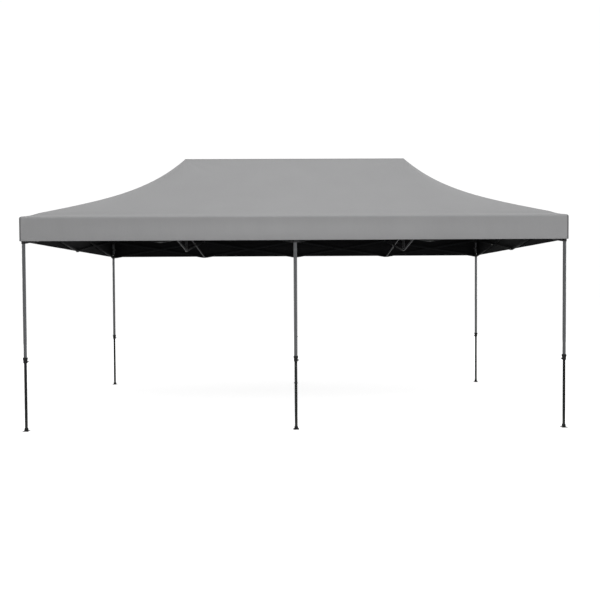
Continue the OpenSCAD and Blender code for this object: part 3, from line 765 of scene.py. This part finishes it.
dust = add(tree, "ShaderNodeMapRange", (-1100, -700), i0=parts.outputs["Z"], i1=0.0, i2=0.16, i3=0.22, i4=0.0)
dust = add(tree, "ShaderNodeMath", (-900, -700), {"operation": "MULTIPLY"},
           i0=dust.outputs[0], i1=mottle.outputs["Fac"])
coat = add(tree, "ShaderNodeMix", (-500, 200), colour,
           i0=dust.outputs[0], i6=coat.outputs[2], i7=srgb("#837F78"))
black = add(tree, "ShaderNodeMix", (-700, -50), colour,
            i0=speck.outputs["Fac"], i6=srgb("#0B0B0C"), i7=srgb("#151516"))
tint = add(tree, "ShaderNodeMix", (-300, 150), colour,
           i0=nylon.outputs[0], i6=coat.outputs[2], i7=black.outputs[2])
metal = add(tree, "ShaderNodeMath", (-500, -200), {"operation": "MULTIPLY_ADD"},
            i0=nylon.outputs[0], i1=-0.55, i2=0.55)
gloss = add(tree, "ShaderNodeMapRange", (-700, -350), i0=mottle.outputs["Fac"], i3=0.36, i4=0.5)
gloss = add(tree, "ShaderNodeMath", (-500, -350), {"operation": "MULTIPLY_ADD"},
            i0=nylon.outputs[0], i1=0.1, i2=gloss.outputs[0])
bump = add(tree, "ShaderNodeBump", (-500, -520),
           Strength=0.4, Distance=0.0002, Height=hammer.outputs["Distance"])
bump = add(tree, "ShaderNodeBump", (-300, -520),
           Strength=0.25, Distance=0.00005, Height=speck.outputs["Fac"], Normal=bump.outputs[0])
feed(shader, Base_Color=tint.outputs[2], Metallic=metal.outputs[0], Specular_IOR_Level=0.2)
feed(shader, Roughness=gloss.outputs[0], Normal=bump.outputs[0])
dress(legs, lambda name: name.startswith("leg_"))


# ---------------------------------------------------------------- Height holes and latch buttons
# Holes are punched in the inner tube every eighty millimetres for the pin of the height lock; each is drawn
# as a pressed rim round a near-black disc, painted shade in place of an opening. The push button of the latch
# is a zinc-plated, dished stud on the inward face of each sliding bracket.
def turned_stud(name, profile, sides):
    """A shape turned about its own Z from pairs of radius and height, closed at both ends."""
    turns = [2 * math.pi * k / sides for k in range(sides)]
    return closed_skin(name, [[(r * math.cos(a), r * math.sin(a), z) for a in turns] for r, z in profile])


# painted shade: a near-black disc stands for the dark opening, in a dull black rim, worn in spots of two
# millimetres
punched, tree, shader = new_finish("punched hole with a pressed rim")
coords = add(tree, "ShaderNodeTexCoord", (-900, 0))
worn = add(tree, "ShaderNodeTexNoise", (-700, 0), Vector=coords.outputs["Object"], Scale=500, Detail=3)
tint = add(tree, "ShaderNodeMix", (-450, 0), colour,
           i0=worn.outputs["Fac"], i6=srgb("#060606"), i7=srgb("#101011"))
gloss = add(tree, "ShaderNodeMapRange", (-450, -200), i0=worn.outputs["Fac"], i3=0.6, i4=0.8)
feed(shader, Base_Color=tint.outputs[2], Roughness=gloss.outputs[0])

# zinc plate: bright pale metal, with a faint spangle of crystals a millimetre wide
plated, tree, shader = new_finish("bright zinc plate")
coords = add(tree, "ShaderNodeTexCoord", (-900, 0))
spangle = add(tree, "ShaderNodeTexVoronoi", (-700, 0), Vector=coords.outputs["Object"], Scale=900)
tint = add(tree, "ShaderNodeMix", (-450, 0), colour,
           i0=spangle.outputs["Distance"], i6=srgb("#B4B5B3"), i7=srgb("#CDCDCA"))
gloss = add(tree, "ShaderNodeMapRange", (-450, -200), i0=spangle.outputs["Distance"], i3=0.25, i4=0.4)
feed(shader, Base_Color=tint.outputs[2], Roughness=gloss.outputs[0], Metallic=1.0)

rim = [(0.0044, -0.0004), (0.0050, 0.0003), (0.0046, 0.0005), (0.0040, 0.0001)]
dished = [(0.0080, -0.0003), (0.0080, 0.0008), (0.0066, 0.0010), (0.0060, 0.0016),
          (0.0060, 0.0042), (0.0054, 0.0050), (0.0036, 0.0047), (0.0012, 0.0043)]
first_hole, last_hole = 140, 700  # heights in millimetres
hole_pitch, inner_face, button_up = 0.080, 0.014, 0.031
hole = turned_stud("hole", rim, 12)
hole.data.materials.append(punched)
for place, (x, y) in leg_spots.items():
    out = math.copysign(1, y)
    line = [Vector((x, y + out * inner_face, z / 1000)) for z in range(first_hole, last_hole + 1, 20)]
    holes = set_out(f"height_holes_{place}", [line], hole_pitch, (0, out, 0), hole, punched)
    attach(holes, f"leg_{place}")
    button = turned_stud(f"latch_button_{place}", dished, 24)
    seat = Matrix.Translation((x, y - out * sleeve, pivot["slider_front_mid_pivot"].z + button_up))
    button.data.transform(seat @ Vector((0, -out, 0)).to_track_quat("Z", "Y").to_matrix().to_4x4())
    button.data.shade_smooth()
    button.data.materials.append(plated)
    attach(button, f"slider_{place}")
bpy.data.objects.remove(hole)

# ---------------------------------------------------------------- Truss bars
# Oval steel tubes in near-black satin powder coat, its near-black partly painted shade for their place under
# the roof, crossed in pairs and pinned with bright zinc-plated rivets whose heads stand outside the pair. The
# coat has a low, soft gloss and an orange peel of a millimetre.
rivet_off = 0.01265
planes = {"front_bar": ("Y", leg_y), "rear_bar": ("Y", -leg_y), "left_side_bar": ("X", leg_x),
          "right_side_bar": ("X", -leg_x), "left_peak_bar": ("X", -mast_x), "right_peak_bar": ("X", mast_x)}
for key, (axis, plane) in planes.items():
    bars, tree, shader = new_finish(f"powder coat with zinc rivets {key}")
    coords = add(tree, "ShaderNodeTexCoord", (-1500, 0))
    parts = add(tree, "ShaderNodeSeparateXYZ", (-1300, -300), Vector=coords.outputs["Object"])
    off = add(tree, "ShaderNodeMath", (-1100, -300), {"operation": "SUBTRACT"},
              i0=parts.outputs[axis], i1=plane)
    off = add(tree, "ShaderNodeMath", (-950, -300), {"operation": "ABSOLUTE"}, i0=off.outputs[0])
    zinc = add(tree, "ShaderNodeMath", (-800, -300), {"operation": "GREATER_THAN"},
               i0=off.outputs[0], i1=rivet_off)
    mottle = add(tree, "ShaderNodeTexNoise", (-1100, 100),
                 Vector=coords.outputs["Object"], Scale=11, Detail=5)
    grain = add(tree, "ShaderNodeTexNoise", (-1100, -80),
                Vector=coords.outputs["Object"], Scale=900, Detail=2)
    # painted shade: the coat is darkened to near-black partly to stand in for the shade under the roof
    coat = add(tree, "ShaderNodeMix", (-700, 200), colour,
               i0=mottle.outputs["Fac"], i6=srgb("#101112"), i7=srgb("#18191A"))
    plate = add(tree, "ShaderNodeMix", (-700, 0), colour,
                i0=grain.outputs["Fac"], i6=srgb("#B4B5B3"), i7=srgb("#D2D2CF"))
    tint = add(tree, "ShaderNodeMix", (-400, 100), colour,
               i0=zinc.outputs[0], i6=coat.outputs[2], i7=plate.outputs[2])
    gloss = add(tree, "ShaderNodeMapRange", (-500, -350), i0=mottle.outputs["Fac"], i3=0.42, i4=0.56)
    bump = add(tree, "ShaderNodeBump", (-400, -520),
               Strength=0.25, Distance=0.0001, Height=grain.outputs["Fac"])
    feed(shader, Base_Color=tint.outputs[2], Metallic=zinc.outputs[0], Specular_IOR_Level=0.1)
    feed(shader, Roughness=gloss.outputs[0], Normal=bump.outputs[0])
    dress(bars, lambda name: name.startswith(key))

# ---------------------------------------------------------------- Brackets, joints, hubs and guides
# Glass-filled black nylon, injection moulded and pinned to the bars: a spark-eroded grain of 0.6 millimetres,
# slightly paler where hands rub it, in patches of three centimetres.
nylon, tree, shader = new_finish("moulded black nylon")
coords = add(tree, "ShaderNodeTexCoord", (-900, 0))
grain = add(tree, "ShaderNodeTexNoise", (-700, 150), Vector=coords.outputs["Object"], Scale=1600, Detail=2)
cloudy = add(tree, "ShaderNodeTexNoise", (-700, -50), Vector=coords.outputs["Object"], Scale=35, Detail=4)
tint = add(tree, "ShaderNodeMix", (-450, 100), colour,
           i0=cloudy.outputs["Fac"], i6=srgb("#0C0C0D"), i7=srgb("#181819"))
gloss = add(tree, "ShaderNodeMapRange", (-450, -120), i0=cloudy.outputs["Fac"], i3=0.42, i4=0.6)
bump = add(tree, "ShaderNodeBump", (-250, -250), Strength=0.35, Distance=0.00006, Height=grain.outputs["Fac"])
feed(shader, Base_Color=tint.outputs[2], Roughness=gloss.outputs[0], Normal=bump.outputs[0])
feed(shader, Specular_IOR_Level=0.3)
dress(nylon, lambda name: name.startswith("slider_") or "_joint_" in name)
dress(nylon, lambda name: name.endswith(("_hub", "_guide")))

# ---------------------------------------------------------------- Peak masts
# Drawn aluminium tubes, clear anodised, with a rounded black cap under the cloth: a pale satin metal whose
# draw lines run lengthwise, a millimetre apart.
mast, tree, shader = new_finish("clear anodised aluminium tube")
cap_tall = 0.012
coords = add(tree, "ShaderNodeTexCoord", (-1100, 0))
parts = add(tree, "ShaderNodeSeparateXYZ", (-900, -300), Vector=coords.outputs["Object"])
cap = add(tree, "ShaderNodeMath", (-700, -300), {"operation": "GREATER_THAN"},
          i0=parts.outputs["Z"], i1=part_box("right_mast")[1].z - cap_tall)
drawn = add(tree, "ShaderNodeMapping", (-900, 50), Vector=coords.outputs["Object"], Scale=(900, 900, 6))
line = add(tree, "ShaderNodeTexNoise", (-700, 50), Vector=drawn.outputs[0], Scale=1.0, Detail=3)
tint = add(tree, "ShaderNodeMix", (-450, 100), colour,
           i0=line.outputs["Fac"], i6=srgb("#A6A8AA"), i7=srgb("#C4C6C8"))
tint = add(tree, "ShaderNodeMix", (-250, 100), colour,
           i0=cap.outputs[0], i6=tint.outputs[2], i7=srgb("#161617"))
metal = add(tree, "ShaderNodeMath", (-450, -120), {"operation": "SUBTRACT"}, i0=1.0, i1=cap.outputs[0])
bump = add(tree, "ShaderNodeBump", (-250, -250), Strength=0.2, Distance=0.00005, Height=line.outputs["Fac"])
feed(shader, Base_Color=tint.outputs[2], Metallic=metal.outputs[0], Roughness=0.38, Normal=bump.outputs[0])
dress(mast, lambda name: name.endswith("_mast"))

low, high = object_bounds()
